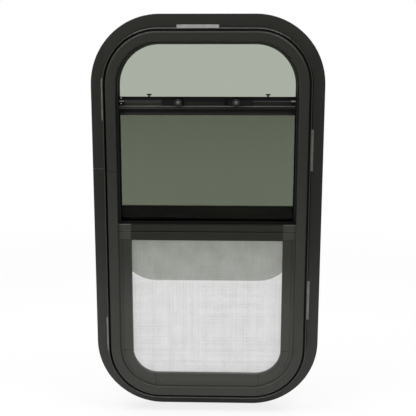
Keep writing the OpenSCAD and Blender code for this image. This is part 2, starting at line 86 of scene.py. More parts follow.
class Side(Enum):
    """Side of the window as seen from inside the vehicle."""

    LEFT = -1
    RIGHT = 1

    @property
    def word(self) -> str:
        """Name of the side as the nodes spell it."""
        return self.name.lower()


class Run(Enum):
    """Direction in which a set of yarns runs."""

    WARP = "warp"
    WEFT = "weft"


class Graph:
    """Builder for the node tree of one material or world."""

    def __init__(self, name: str, world: bool = False) -> None:
        """Starts an empty tree.

        Args:
            name: name of the material or world.
            world: whether it is a world.
        """
        kinds = bpy.data.worlds if world else bpy.data.materials
        self.owner = kinds.new(name)
        self.owner.use_nodes = True
        self.tree = self.owner.node_tree
        self.tree.nodes.clear()
        self.output = self.node("OutputWorld" if world else "OutputMaterial")

    def node(self, kind: str, **settings: object) -> bpy.types.Node:
        """Adds a node and sets its properties.

        Args:
            kind: node type without the ShaderNode prefix.
            settings: attributes of the node.

        Returns:
            The new node.
        """
        made = self.tree.nodes.new("ShaderNode" + kind)
        for key, value in settings.items():
            setattr(made, key, value)
        return made

    def join(self, source: Socket, target: Socket) -> None:
        """Links two sockets."""
        self.tree.links.new(source, target)

    def place(self, stretch: Triple = (1.0, 1.0, 1.0)) -> Socket:
        """Object coordinates, stretched along the axes.

        Args:
            stretch: factor on each axis.

        Returns:
            The vector socket.
        """
        coordinates = self.node("TexCoord")
        mapping = self.node("Mapping")
        mapping.inputs["Scale"].default_value = stretch
        self.join(coordinates.outputs["Object"], mapping.inputs["Vector"])
        return mapping.outputs["Vector"]

    def noise(self, scale: float, detail: float = 3.0, stretch: Triple = (1.0, 1.0, 1.0)) -> Socket:
        """Noise on object coordinates.

        Args:
            scale: cells in a metre.
            detail: octaves.
            stretch: factor on each axis.

        Returns:
            The factor socket, from 0 to 1.
        """
        texture = self.node("TexNoise")
        texture.inputs["Scale"].default_value = scale
        texture.inputs["Detail"].default_value = detail
        self.join(self.place(stretch), texture.inputs["Vector"])
        return texture.outputs["Fac"]

    def spread(self, factor: Socket, low: float, high: float) -> Socket:
        """Maps a factor of 0.3 to 0.7 onto a range.

        Args:
            factor: socket that holds the factor.
            low: value at 0.3.
            high: value at 0.7.

        Returns:
            The mapped value.
        """
        ramp = self.node("MapRange", clamp=True)
        for name, value in zip(("From Min", "From Max", "To Min", "To Max"), (0.3, 0.7, low, high)):
            ramp.inputs[name].default_value = value
        self.join(factor, ramp.inputs["Value"])
        return ramp.outputs["Result"]

    def math(self, operation: str, first: object, second: object = 0.0) -> Socket:
        """Math node on sockets or numbers.

        Args:
            operation: name of the operation.
            first: socket or number.
            second: socket or number.

        Returns:
            The value socket.
        """
        made = self.node("Math", operation=operation)
        for index, value in enumerate((first, second)):
            if isinstance(value, (int, float)):
                made.inputs[index].default_value = value
            else:
                self.join(value, made.inputs[index])
        return made.outputs["Value"]

    def both(self, first: Socket, second: Socket) -> Socket:
        """Mask that holds where both masks do."""
        return self.math("MULTIPLY", first, second)

    def patches(self, least: float, scale: float = 90.0) -> Socket:
        """Uneven patches, for the rubber's bloom and to break up painted highlights and painted light.

        Args:
            least: value in the faintest spots.
            scale: cells in a metre.

        Returns:
            The factor socket, from that value to 1.
        """
        return self.spread(self.noise(scale, 5.0), least, 1.0)

    def blend(self, factor: Socket, first: object, second: object) -> Socket:
        """Mixes two colours.

        Args:
            factor: share of the second colour.
            first: colour or socket.
            second: colour or socket.

        Returns:
            The colour socket.
        """
        mix = self.node("Mix", data_type="RGBA")
        self.join(factor, mix.inputs["Factor"])
        colour_inputs = [socket for socket in mix.inputs if socket.type == "RGBA"]
        for socket, value in zip(colour_inputs, (first, second)):
            if isinstance(value, tuple):
                socket.default_value = (*value, 1.0)
            else:
                self.join(value, socket)
        return next(socket for socket in mix.outputs if socket.type == "RGBA")

    def mottled(
        self, scale: float, detail: float, colour: Colour, shades: Pair, stretch: Triple = (1.0, 1.0, 1.0)
    ) -> Socket:
        """Colour that varies between two shades of itself.

        Args:
            scale: cells in a metre.
            detail: octaves.
            colour: the colour.
            shades: factors of its dark and its light shade.
            stretch: factor on each axis.

        Returns:
            The colour socket.
        """
        cloud = self.spread(self.noise(scale, detail, stretch), 0.0, 1.0)
        return self.blend(cloud, scaled(colour, shades[0]), scaled(colour, shades[1]))

    def axis(self, letter: str) -> Socket:
        """One of the object coordinates.

        Args:
            letter: X, Y or Z.

        Returns:
            The value socket, in metres.
        """
        split = self.node("SeparateXYZ")
        self.join(self.place(), split.inputs["Vector"])
        return split.outputs[letter]

    def outline(self, half_width: float, half_height: float, centre: float, radius: float) -> Socket:
        """Distance out from the centres of a rounded outline's corners.

        Args:
            half_width: half the outline's width.
            half_height: half its height.
            centre: height of its middle.
            radius: radius of its corners, the distance at the outline itself.

        Returns:
            The distance socket, in metres.
        """
        across = self.math("ABSOLUTE", self.axis("X"))
        rise = self.math("ABSOLUTE", self.math("SUBTRACT", self.axis("Z"), centre))
        past = [
            self.math("MAXIMUM", self.math("SUBTRACT", value, half - radius), 0.0)
            for value, half in ((across, half_width), (rise, half_height))
        ]
        squares = [self.math("POWER", value, 2.0) for value in past]
        return self.math("SQRT", self.math("ADD", *squares))

    def within(self, value: Socket, low: float, high: float, soft: float) -> Socket:
        """Mask that is one between two limits, with soft edges.

        Args:
            value: socket to test.
            low: lower limit.
            high: upper limit.
            soft: width of each edge.

        Returns:
            The mask socket.
        """
        rise = self.math("DIVIDE", self.math("SUBTRACT", value, low), soft)
        fall = self.math("DIVIDE", self.math("SUBTRACT", high, value), soft)
        both = self.node("Math", operation="MINIMUM", use_clamp=True)
        self.join(rise, both.inputs[0])
        self.join(fall, both.inputs[1])
        return both.outputs["Value"]

    def bump(self, height: Socket, depth: float) -> Socket:
        """Bump from a height factor.

        Args:
            height: factor socket.
            depth: depth in metres for a factor of one.

        Returns:
            The normal socket.
        """
        made = self.node("Bump")
        made.inputs["Distance"].default_value = depth
        self.join(height, made.inputs["Height"])
        return made.outputs["Normal"]

    def surface(self, **values: object) -> bpy.types.Material:
        """Adds the Principled shader and ends the material.

        Args:
            values: input names with blanks as underscores, each a socket, colour or number.

        Returns:
            The finished material.
        """
        shader = self.node("BsdfPrincipled")
        for key, value in values.items():
            socket = shader.inputs[key.replace("_", " ")]
            if isinstance(value, tuple):
                socket.default_value = (*value, 1.0)
            elif isinstance(value, (int, float)):
                socket.default_value = value
            else:
                self.join(value, socket)
        self.join(shader.outputs["BSDF"], self.output.inputs["Surface"])
        return self.owner

    def seen(self) -> Socket:
        """Mask of the rays that see the white surround: camera, glossy and transmitted ones."""
        path = self.node("LightPath")
        seen = path.outputs["Is Camera Ray"]
        for ray in ("Is Glossy Ray", "Is Transmission Ray"):
            seen = self.math("MAXIMUM", seen, path.outputs[ray])
        return seen


def scaled(colour: Colour, factor: float) -> Colour:
    """Colour times a factor."""
    return tuple(channel * factor for channel in colour)


@dataclass(frozen=True)
class Finish:
    """Name and colour that every finish has."""

    name: str
    colour: Colour


@dataclass(frozen=True)
class SatinCoat(Finish):
    """Satin powder coat on metal, with a fine orange peel and a slight mottle."""

    roughness: float = 0.42
    gloss: float = 0.5
    mottle: float = 0.12
    mottle_per_m: float = 9.0
    speckle: float = 0.25
    speckle_per_m: float = 260.0
    rub: Pair = (-0.05, 0.07)
    rub_per_m: float = 35.0
    peel_per_m: float = 1400.0
    peel_depth: float = 0.03 * MM

    def tone(self, graph: Graph, base: Socket) -> Socket:
        """Colour of the coat before any local change."""
        return base

    def material(self) -> bpy.types.Material:
        """Builds the coat."""
        graph = Graph(self.name)
        broad = graph.mottled(self.mottle_per_m, 3.0, self.colour, (1.0 - self.mottle, 1.0 + self.mottle))
        fine = graph.spread(graph.noise(self.speckle_per_m, 4.0), 0.0, 1.0)
        share = graph.math("MULTIPLY", fine, self.speckle)
        speckled = graph.blend(share, broad, scaled(self.colour, 1.0 + self.speckle))
        rough = graph.noise(self.rub_per_m, 4.0)
        return graph.surface(
            Base_Color=self.tone(graph, speckled),
            Roughness=graph.spread(rough, self.roughness + self.rub[0], self.roughness + self.rub[1]),
            Specular_IOR_Level=self.gloss,
            Normal=graph.bump(graph.noise(self.peel_per_m, 2.0), self.peel_depth),
        )


@dataclass(frozen=True)
class LowerLitCoat(SatinCoat):
    """Satin coat painted lighter on its lower part, standing in for light bounced up from the floor."""

    # painted light: lighter colour on the lower part, in place of light bounced up from the floor
    lower_light: Colour = (0.0365, 0.0368, 0.0320)
    lower_light_top: float = 0.39
    lower_light_fade: float = 0.27

    def tone(self, graph: Graph, base: Socket) -> Socket:
        """Paints the lighter lower part over the coat."""
        lower_light = graph.within(graph.axis("Z"), -FAR, self.lower_light_top, self.lower_light_fade)
        return graph.blend(lower_light, base, self.lower_light)


@dataclass(frozen=True)
class FrameCoat(LowerLitCoat):
    """Coat painted lighter below, with a painted highlight on the neck's lip, painted highlight lines at the
    head, painted shade in the reveal, on the flange's sides and along its outer edge, and painted light on
    the flange's foot.
    """

    half_width: float = 0.1715
    half_height: float = 0.2985
    centre_height: float = 0.291
    bend_radius: float = 0.1016
    flange_front: float = -4.0 * MM
    flange_soft: float = 0.5 * MM
    # painted highlight: pale lines along the shelf and the ring's outer edge at the head
    line_highlight: Colour = (0.085, 0.085, 0.078)
    shelf_line_in: float = 17.9 * MM
    ring_edge_in: float = 27.9 * MM
    line_half: float = 0.5 * MM
    line_soft: float = 0.2 * MM
    line_from: float = 0.50
    line_fade: float = 0.04
    # painted highlight on the neck's lip along the upper and lower runs
    highlight_colour: Colour = (0.135, 0.135, 0.126)
    least_patch: float = 0.55
    lip_low: float = -29.95 * MM
    lip_high: float = -29.1 * MM
    lip_soft: float = 0.3 * MM
    run_from: float = 0.262
    run_fade: float = 8.0 * MM
    # painted shade on the reveal's side walls
    reveal_shade: Colour = (0.004, 0.004, 0.0038)
    reveal_front: float = -28.0 * MM
    reveal_soft: float = 1.0 * MM
    reveal_half: float = 0.1345
    reveal_low: float = 0.09
    reveal_high: float = 0.49
    reveal_fade: float = 10.0 * MM
    # painted light: the flange's foot lighter where the neck shades it
    foot_light: Colour = (0.032, 0.032, 0.029)
    foot_top: float = 8.0 * MM
    foot_fade: float = 6.0 * MM
    # painted shade: flange darker along its sides, behind the neck
    side_shade: Colour = (0.0075, 0.0080, 0.0045)
    side_from: float = 0.148
    side_soft: float = 4.0 * MM
    side_low: float = 0.17
    side_fade: float = 0.16
    # painted shade: dark line along the flange's outer edge
    edge_shade: Colour = (0.003, 0.003, 0.0028)
    edge_width: float = 1.3 * MM
    edge_soft: float = 0.4 * MM

    def tone(self, graph: Graph, base: Socket) -> Socket:
        """Lays the painted highlights, painted shade and painted light over the coat."""
        height = graph.axis("Z")
        across = graph.math("ABSOLUTE", graph.axis("X"))
        out = graph.outline(self.half_width, self.half_height, self.centre_height, self.bend_radius)
        patches = graph.patches(self.least_patch)
        lined = self.lines(graph, out, super().tone(graph, base))
        worn = graph.blend(graph.both(self.lip(graph), patches), lined, self.highlight_colour)
        dark = graph.blend(self.reveal(graph, across), worn, self.reveal_shade)
        flange = graph.within(graph.axis("Y"), self.flange_front, FAR, self.flange_soft)
        foot = graph.both(flange, graph.within(height, -FAR, self.foot_top, self.foot_fade))
        foot_light = graph.blend(graph.both(foot, patches), dark, self.foot_light)
        sides = graph.both(flange, graph.within(across, self.side_from, FAR, self.side_soft))
        dull = graph.both(sides, graph.within(height, self.side_low, FAR, self.side_fade))
        flanged = graph.blend(dull, foot_light, self.side_shade)
        edge = graph.within(out, self.bend_radius - self.edge_width, FAR, self.edge_soft)
        return graph.blend(edge, flanged, self.edge_shade)

    def lines(self, graph: Graph, out: Socket, base: Socket) -> Socket:
        """Draws painted highlights along the edges of the shelf and of the ring at the head.

        Args:
            graph: graph of the coat.
            out: distance out from the corner centres.
            base: colour of the coat.

        Returns:
            The colour with both lines.
        """
        head = graph.within(graph.axis("Z"), self.line_from, FAR, self.line_fade)
        depth, lined = graph.axis("Y"), base
        for inset, front, back in (
            (self.shelf_line_in, self.flange_front, FAR), (self.ring_edge_in, -FAR, self.lip_low),
        ):
            place = self.bend_radius - inset
            band = graph.within(out, place - self.line_half, place + self.line_half, self.line_soft)
            line = graph.both(band, graph.within(depth, front, back, self.line_soft))
            lined = graph.blend(graph.both(line, head), lined, self.line_highlight)
        return lined

    def lip(self, graph: Graph) -> Socket:
        """Mask of the neck's lip along its upper and lower runs."""
        rise = graph.math("ABSOLUTE", graph.math("SUBTRACT", graph.axis("Z"), self.centre_height))
        return graph.both(
            graph.within(graph.axis("Y"), self.lip_low, self.lip_high, self.lip_soft),
            graph.within(rise, self.run_from, self.half_height, self.run_fade),
        )

    def reveal(self, graph: Graph, across: Socket) -> Socket:
        """Mask of the reveal's side walls, where the painted shade goes, from the distance across."""
        inside = graph.both(
            graph.within(graph.axis("Y"), self.reveal_front, FAR, self.reveal_soft),
            graph.within(across, -FAR, self.reveal_half, self.line_soft),
        )
        side = graph.within(graph.axis("Z"), self.reveal_low, self.reveal_high, self.reveal_fade)
        return graph.both(inside, side)


@dataclass(frozen=True)
class RailCoat(SatinCoat):
    """Satin coat of the sash rail, lighter on the channel's back wall, with painted shadow on its foot, a
    painted highlight on its ridge and darker towards its right end.
    """

    # lighter colour on the channel's back wall
    web_lighter: Colour = (0.070, 0.072, 0.058)
    web_face: float = -14.0 * MM
    web_low: float = 463.0 * MM
    web_soft: float = 0.5 * MM
    # painted shadow on the rail's foot
    shaded: Colour = (0.006, 0.006, 0.0045)
    shaded_top: float = 452.5 * MM
    shaded_fade: float = 2.0 * MM
    # darker towards the rail's right end
    dull: Colour = (0.0055, 0.0055, 0.0040)
    dark_fade_start: float = -0.105
    dark_fade_full: float = 0.03
    # painted highlight along the ridge's upper edge
    ridge_highlight: Colour = (0.10, 0.10, 0.09)
    least_ridge_highlight: float = 0.6
    ridge_edge: float = 458.4 * MM
    ridge_half: float = 0.8 * MM
    ridge_front: float = -16.6 * MM
    face_soft: float = 0.3 * MM

    def tone(self, graph: Graph, base: Socket) -> Socket:
        """Lightens the channel's back wall, paints shadow on the foot, darkens the right end and paints a
        highlight on the ridge.
        """
        depth, height = graph.axis("Y"), graph.axis("Z")
        web = graph.both(
            graph.within(depth, self.web_face, FAR, self.face_soft),
            graph.within(height, self.web_low, FAR, self.web_soft),
        )
        dusted = graph.blend(web, base, self.web_lighter)
        foot = graph.within(height, -FAR, self.shaded_top, self.shaded_fade)
        footed = graph.blend(foot, dusted, self.shaded)
        fade = graph.within(graph.axis("X"), self.dark_fade_start, FAR, self.dark_fade_full - self.dark_fade_start)
        faded = graph.blend(fade, footed, self.dull)
        low, high = self.ridge_edge - self.ridge_half, self.ridge_edge + self.ridge_half
        edge = graph.both(
            graph.within(height, low, high, self.face_soft),
            graph.within(depth, -FAR, self.ridge_front, self.face_soft),
        )
        return graph.blend(graph.both(edge, graph.patches(self.least_ridge_highlight)), faded, self.ridge_highlight)


@dataclass(frozen=True)
class Moulded(Finish):
    """Moulded plastic with a fine spark-eroded grain."""

    roughness: float = 0.48
    gloss: float = 0.5
    mottle: Pair = (0.93, 1.08)
    mottle_per_m: float = 40.0
    rub: Pair = (-0.05, 0.06)
    rub_per_m: float = 150.0
    grain_per_m: float = 3200.0
    grain_depth: float = 0.02 * MM

    def tone(self, graph: Graph, base: Socket) -> Socket:
        """Colour of the plastic before any local change."""
        return base

    def material(self) -> bpy.types.Material:
        """Builds the plastic."""
        graph = Graph(self.name)
        base = graph.mottled(self.mottle_per_m, 4.0, self.colour, self.mottle)
        rough = graph.noise(self.rub_per_m)
        return graph.surface(
            Base_Color=self.tone(graph, base),
            Roughness=graph.spread(rough, self.roughness + self.rub[0], self.roughness + self.rub[1]),
            Specular_IOR_Level=self.gloss,
            Normal=graph.bump(graph.noise(self.grain_per_m, 2.0), self.grain_depth),
        )


@dataclass(frozen=True)
class KeyPlastic(Moulded):
    """Moulded plastic of the upper corner keys, with painted highlights along the edges of its step and line.
    """

    # painted highlight along the edges of the step and the line
    highlight_colour: Colour = (0.115, 0.115, 0.105)
    edges: Pair = (285.5 * MM, 275.9 * MM)
    edge_half: float = 0.55 * MM
    edge_soft: float = 0.3 * MM

    def tone(self, graph: Graph, base: Socket) -> Socket:
        """Lays the painted highlights over the plastic."""
        height = graph.axis("Z")
        colour = base
        for edge in self.edges:
            line = graph.within(height, edge - self.edge_half, edge + self.edge_half, self.edge_soft)
            colour = graph.blend(line, colour, self.highlight_colour)
        return colour


@dataclass(frozen=True)
class Rubber(Finish):
    """Matt black rubber with a dusty bloom."""

    roughness: float = 0.75
    gloss: float = 0.12
    bloom: float = 0.35
    bloom_pale: float = 2.2
    bloom_per_m: float = 60.0
    grain_per_m: float = 900.0
    grain_depth: float = 0.03 * MM

    def material(self) -> bpy.types.Material:
        """Builds the rubber."""
        graph = Graph(self.name)
        bloom = graph.math("MULTIPLY", graph.patches(0.0, self.bloom_per_m), self.bloom)
        return graph.surface(
            Base_Color=graph.blend(bloom, self.colour, scaled(self.colour, self.bloom_pale)),
            Roughness=self.roughness,
            Specular_IOR_Level=self.gloss,
            Normal=graph.bump(graph.noise(self.grain_per_m), self.grain_depth),
        )


@dataclass(frozen=True)
class PileCloth(Finish):
    """Short dense pile, brushed along the channel."""

    shades: Pair = (0.6, 1.6)
    fibres_per_m: float = 2600.0
    brushed: Triple = (1.0, 1.0, 0.25)
    fibre_depth: float = 0.15 * MM

    def material(self) -> bpy.types.Material:
        """Builds the pile."""
        graph = Graph(self.name)
        fibres = graph.noise(self.fibres_per_m, 2.0, self.brushed)
        return graph.surface(
            Base_Color=graph.mottled(self.fibres_per_m, 2.0, self.colour, self.shades, self.brushed),
            Roughness=0.9,
            Specular_IOR_Level=0.05,
            Normal=graph.bump(fibres, self.fibre_depth),
        )


@dataclass(frozen=True)
class TintedGlass(Finish):
    """Body-tinted sheet glass with faint dust, darker towards the top."""

    ior: float = 1.13
    # darker towards the top
    top_darkening: float = 0.0
    darkening_foot: float = 0.315
    darkening_head: float = 0.452
    darkening_power: float = 2.0
    dust: Pair = (0.992, 1.008)
    dust_per_m: float = 30.0

    def material(self) -> bpy.types.Material:
        """Builds the glass."""
        graph = Graph(self.name)
        above = graph.math("SUBTRACT", graph.axis("Z"), self.darkening_foot)
        rise = graph.math("DIVIDE", above, self.darkening_head - self.darkening_foot)
        top_darkening = graph.node("Math", operation="POWER", use_clamp=True)
        graph.join(graph.math("MAXIMUM", rise, 0.0), top_darkening.inputs[0])
        top_darkening.inputs[1].default_value = self.darkening_power
        clear = graph.mottled(self.dust_per_m, 6.0, self.colour, self.dust)
        return graph.surface(
            Base_Color=graph.blend(top_darkening.outputs["Value"], clear, scaled(self.colour, 1.0 - self.top_darkening)),
            Roughness=0.0,
            IOR=self.ior,
            Transmission_Weight=1.0,
        )


@dataclass(frozen=True)
class DarkSteel(Finish):
    """Dark rod whose ends are worn to bright metal."""

    worn: Colour
    worn_from: float
    bare_metal: float = 0.6
    ragged: float = 1.5 * MM
    scratches_per_m: float = 700.0
    grain_per_m: float = 1500.0
    grain_depth: float = 0.02 * MM
    drawn: Triple = (0.1, 1.0, 1.0)

    def material(self) -> bpy.types.Material:
        """Builds the steel."""
        graph = Graph(self.name)
        reach = graph.math("ABSOLUTE", graph.axis("X"))
        scratched = graph.math("MULTIPLY", graph.noise(self.scratches_per_m, 3.0, self.drawn), self.ragged)
        bare = graph.math("GREATER_THAN", graph.math("ADD", reach, scratched), self.worn_from)
        return graph.surface(
            Base_Color=graph.blend(bare, self.colour, self.worn),
            Metallic=graph.math("MULTIPLY", bare, self.bare_metal),
            Roughness=0.38,
            Normal=graph.bump(graph.noise(self.grain_per_m, 2.0, self.drawn), self.grain_depth),
        )


@dataclass(frozen=True)
class BrightRivet(Finish):
    """Turned rivet head with a fine lathe grain."""

    shades: Pair = (0.8, 1.0)
    stains_per_m: float = 400.0
    grain_per_m: float = 2500.0
    grain_depth: float = 0.02 * MM

    def material(self) -> bpy.types.Material:
        """Builds the metal."""
        graph = Graph(self.name)
        return graph.surface(
            Base_Color=graph.mottled(self.stains_per_m, 3.0, self.colour, self.shades),
            Metallic=0.5,
            Roughness=0.45,
            Normal=graph.bump(graph.noise(self.grain_per_m, 2.0), self.grain_depth),
        )


@dataclass(frozen=True)
class CoatedYarn(Finish):
    """Coated glass fibre yarn of the insect screen."""

    shades: Pair = (0.85, 1.15)
    dust_per_m: float = 45.0

    def material(self) -> bpy.types.Material:
        """Builds the yarn."""
        graph = Graph(self.name)
        return graph.surface(
            Base_Color=graph.mottled(self.dust_per_m, 5.0, self.colour, self.shades),
            Roughness=0.55,
            Specular_IOR_Level=0.4,
        )


@dataclass(frozen=True)
class TapeStrip(Finish):
    """Dull grey strip with a fine rib along it and rubbed spots."""

    shades: Pair = (0.86, 1.1)
    rubs_per_m: float = 120.0
    ribs_per_m: float = 1800.0
    ribbed: Triple = (1.0, 1.0, 0.3)
    rib_depth: float = 0.04 * MM

    def material(self) -> bpy.types.Material:
        """Builds the strip."""
        graph = Graph(self.name)
        return graph.surface(
            Base_Color=graph.mottled(self.rubs_per_m, 5.0, self.colour, self.shades),
            Roughness=0.6,
            Specular_IOR_Level=0.3,
            Normal=graph.bump(graph.noise(self.ribs_per_m, 2.0, self.ribbed), self.rib_depth),
        )


def dress(node: str, material: bpy.types.Material) -> None:
    """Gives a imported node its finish.

    Args:
        node: name of the node.
        material: its material.
    """
    slots = FRAME["nodes"][node].material_slots
    if not slots:
        FRAME["nodes"][node].data.materials.append(material)
    for slot in slots:
        slot.material = material


def finish_piece(
    name: str, shape: bmesh.types.BMesh, material: bpy.types.Material, smooth: bool = True
) -> bpy.types.Object:
    """Turns a bmesh into a piece that rides on the window.

    Args:
        name: name of the piece.
        shape: mesh in metres, in the window's own place.
        material: its finish.
        smooth: whether its faces are shaded smooth.

    Returns:
        The object.
    """
    bmesh.ops.recalc_face_normals(shape, faces=shape.faces)
    mesh = bpy.data.meshes.new(name)
    shape.to_mesh(mesh)
    shape.free()
    for face in mesh.polygons:
        face.use_smooth = smooth
    mesh.materials.append(material)
    piece = bpy.data.objects.new(name, mesh)
    bpy.context.scene.collection.objects.link(piece)
    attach(piece, ROOT)
    LOG.info("%s: %d faces", name, len(mesh.polygons))
    return piece


def bevelled_bar(size: Triple, place: Triple, lean: float = 0.0) -> bmesh.types.BMesh:
    """Straight bar with softened edges, leaned about its length.

    Args:
        size: length, depth and height.
        place: where its middle lies.
        lean: turn about its length.

    Returns:
        The mesh.
    """
    shape = bmesh.new()
    bmesh.ops.create_cube(shape, size=1.0)
    bmesh.ops.scale(shape, vec=size, verts=shape.verts)
    bmesh.ops.bevel(
        shape, geom=shape.edges[:], affect="EDGES", offset=min(size) * BEVEL_SHARE,
        segments=2, profile=0.5, material=-1,
    )
    bmesh.ops.rotate(shape, cent=(0.0, 0.0, 0.0), matrix=Matrix.Rotation(lean, 3, "X"), verts=shape.verts)
    bmesh.ops.translate(shape, vec=place, verts=shape.verts)
    return shape


@dataclass
class OuterFrame:
    """Bent frame with its glass, rubber and rails."""

    coat: FrameCoat = FrameCoat("frame_coat", (0.0118, 0.0122, 0.0085), roughness=0.38, gloss=0.25)
    black_coat: SatinCoat = SatinCoat(
        "meeting_rail_coat", (0.0400, 0.0400, 0.0350), roughness=0.6, gloss=0.08
    )
    glass: TintedGlass = TintedGlass("upper_glass", (0.397, 0.428, 0.362))
    rubber: Rubber = Rubber("seal_rubber", (0.006, 0.006, 0.006))
    pile: PileCloth = PileCloth("channel_pile", (0.006, 0.006, 0.006))

    def build(self) -> None:
        """Dresses the fixed parts."""
        dress("outer_frame", self.coat.material())
        dress("fixed_glass", self.glass.material())
        rubber = self.rubber.material()
        for node in ("glazing_gasket", "sill_seal"):
            dress(node, rubber)
        dress("meeting_rail", self.black_coat.material())
        pile = self.pile.material()
        for node in ("meeting_rail_seal", "guide_channel_left", "guide_channel_right"):
            dress(node, pile)


@dataclass
class Sash:
    """Raised sash with its rail and two slide latches."""

    glass: TintedGlass = TintedGlass("sash_tint", (0.316, 0.334, 0.285), top_darkening=0.22)
    coat: RailCoat = RailCoat("rail_coat", (0.0300, 0.0305, 0.0240), gloss=0.2)
    plastic: Moulded = Moulded("latch_plastic", (0.0045, 0.0045, 0.0045), gloss=0.1)
    knob: Moulded = Moulded("knob_plastic", (0.018, 0.018, 0.0175), gloss=0.25)
    rubber: Rubber = Rubber("stop_rubber", (0.004, 0.004, 0.004), gloss=0.08)
    rod: DarkSteel = DarkSteel("bolt_steel", (0.03, 0.03, 0.028), (0.34, 0.34, 0.325), 0.1215)
    rivet: BrightRivet = BrightRivet("rivet_metal", (0.11, 0.11, 0.106))
    pin: BrightRivet = BrightRivet("pin_metal", (0.44, 0.44, 0.42))
    rivet_radius: float = 2.4 * MM
    rivet_rise: float = 1.0 * MM
    dome_segments: int = 32
    lip_seal_height: float = 3.9 * MM
    lip_seal_lean: float = math.radians(20.0)
    wedge_height: float = 4.4 * MM
    wedge_drop: float = 20.3 * MM
    wedge_back: float = 1.4 * MM
    trim_thickness: float = 0.5 * MM
    flap_height: float = 5.6 * MM
    flap_middle: float = 467.8 * MM
    pin_radius: float = 1.0 * MM
    pin_rise: float = 0.5 * MM
    pin_reach: float = -124.3 * MM
    pin_heights: Pair = (469.9 * MM, 462.3 * MM)

    def build(self) -> None:
        """Dresses the sash and adds its trims, rivets and pins."""
        dress("sash_glass", self.glass.material())
        dress("sash_top_rail", self.coat.material())
        plastic, knob = self.plastic.material(), self.knob.material()
        rubber, rod, rivet = self.rubber.material(), self.rod.material(), self.rivet.material()
        for side in Side:
            dress(f"sash_end_cap_{side.word}", plastic)
            dress(f"latch_slide_{side.word}", plastic)
            dress(f"latch_knob_{side.word}", knob)
            dress(f"latch_bolt_{side.word}", rod)
            dress(f"stop_pad_{side.word}", rubber)
            self.add_rivet(side, rivet)
        self.add_trim(rubber)
        self.add_cap_pins(self.pin.material())

    def add_trim(self, material: bpy.types.Material) -> None:
        """Black seal on the rail's upper lip, rubber wedge under its ridge and flap between the slides.

        Args:
            material: their finish.
        """
        low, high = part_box("sash_top_rail")
        left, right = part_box("sash_end_cap_left")[0][0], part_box("sash_end_cap_right")[1][0]
        half = self.trim_thickness / 2
        lip_size = (right - left, self.trim_thickness, self.lip_seal_height)
        lip_place = (0.0, low[1] + half, high[2] - self.lip_seal_height / 2)
        lip = bevelled_bar(lip_size, lip_place, self.lip_seal_lean)
        finish_piece("sash_lip_seal", lip, material, False)
        wedge_size = (right - left, self.trim_thickness, self.wedge_height)
        wedge_place = (0.0, low[1] + self.wedge_back - half, high[2] - self.wedge_drop)
        finish_piece("sash_glazing_wedge", bevelled_bar(wedge_size, wedge_place), material, False)
        start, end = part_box("latch_slide_left")[1][0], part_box("latch_slide_right")[0][0]
        flap_size = (end - start, self.trim_thickness, self.flap_height)
        flap_place = ((start + end) / 2, low[1] - half, self.flap_middle)
        finish_piece("sash_channel_flap", bevelled_bar(flap_size, flap_place), material, False)

    def dome(self, centre: Vector, radius: float, rise: float) -> bmesh.types.BMesh:
        """Low dome that faces the room.

        Args:
            centre: middle of its foot.
            radius: radius of its foot.
            rise: height above the foot.

        Returns:
            The mesh.
        """
        shape = bmesh.new()
        rings = self.dome_segments // 2
        bmesh.ops.create_uvsphere(shape, u_segments=self.dome_segments, v_segments=rings, radius=radius)
        bmesh.ops.scale(shape, vec=(1.0, rise / radius, 1.0), verts=shape.verts)
        bmesh.ops.translate(shape, vec=centre, verts=shape.verts)
        bmesh.ops.bisect_plane(
            shape, geom=shape.verts[:] + shape.edges[:] + shape.faces[:],
            plane_co=centre, plane_no=(0.0, 1.0, 0.0), clear_outer=True,
        )
        bmesh.ops.edgeloop_fill(shape, edges=[edge for edge in shape.edges if edge.is_boundary])
        return shape

    def add_cap_pins(self, material: bpy.types.Material) -> None:
        """Two bright pins in the left end block, above and below the bolt.

        Args:
            material: their finish.
        """
        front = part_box("sash_end_cap_left")[0][1]
        for word, height in zip(("upper", "lower"), self.pin_heights):
            pin = self.dome(Vector((self.pin_reach, front, height)), self.pin_radius, self.pin_rise)
            finish_piece(f"end_cap_pin_{word}", pin, material)

    def add_rivet(self, side: Side, material: bpy.types.Material) -> None:
        """Domed rivet head in the middle of a knob.

        Args:
            side: which knob.
            material: its finish.
        """
        low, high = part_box(f"latch_knob_{side.word}")
        centre = Vector(((low[0] + high[0]) / 2, low[1], (low[2] + high[2]) / 2))
        shape = self.dome(centre, self.rivet_radius, self.rivet_rise)
        finish_piece(f"knob_rivet_{side.word}", shape, material)


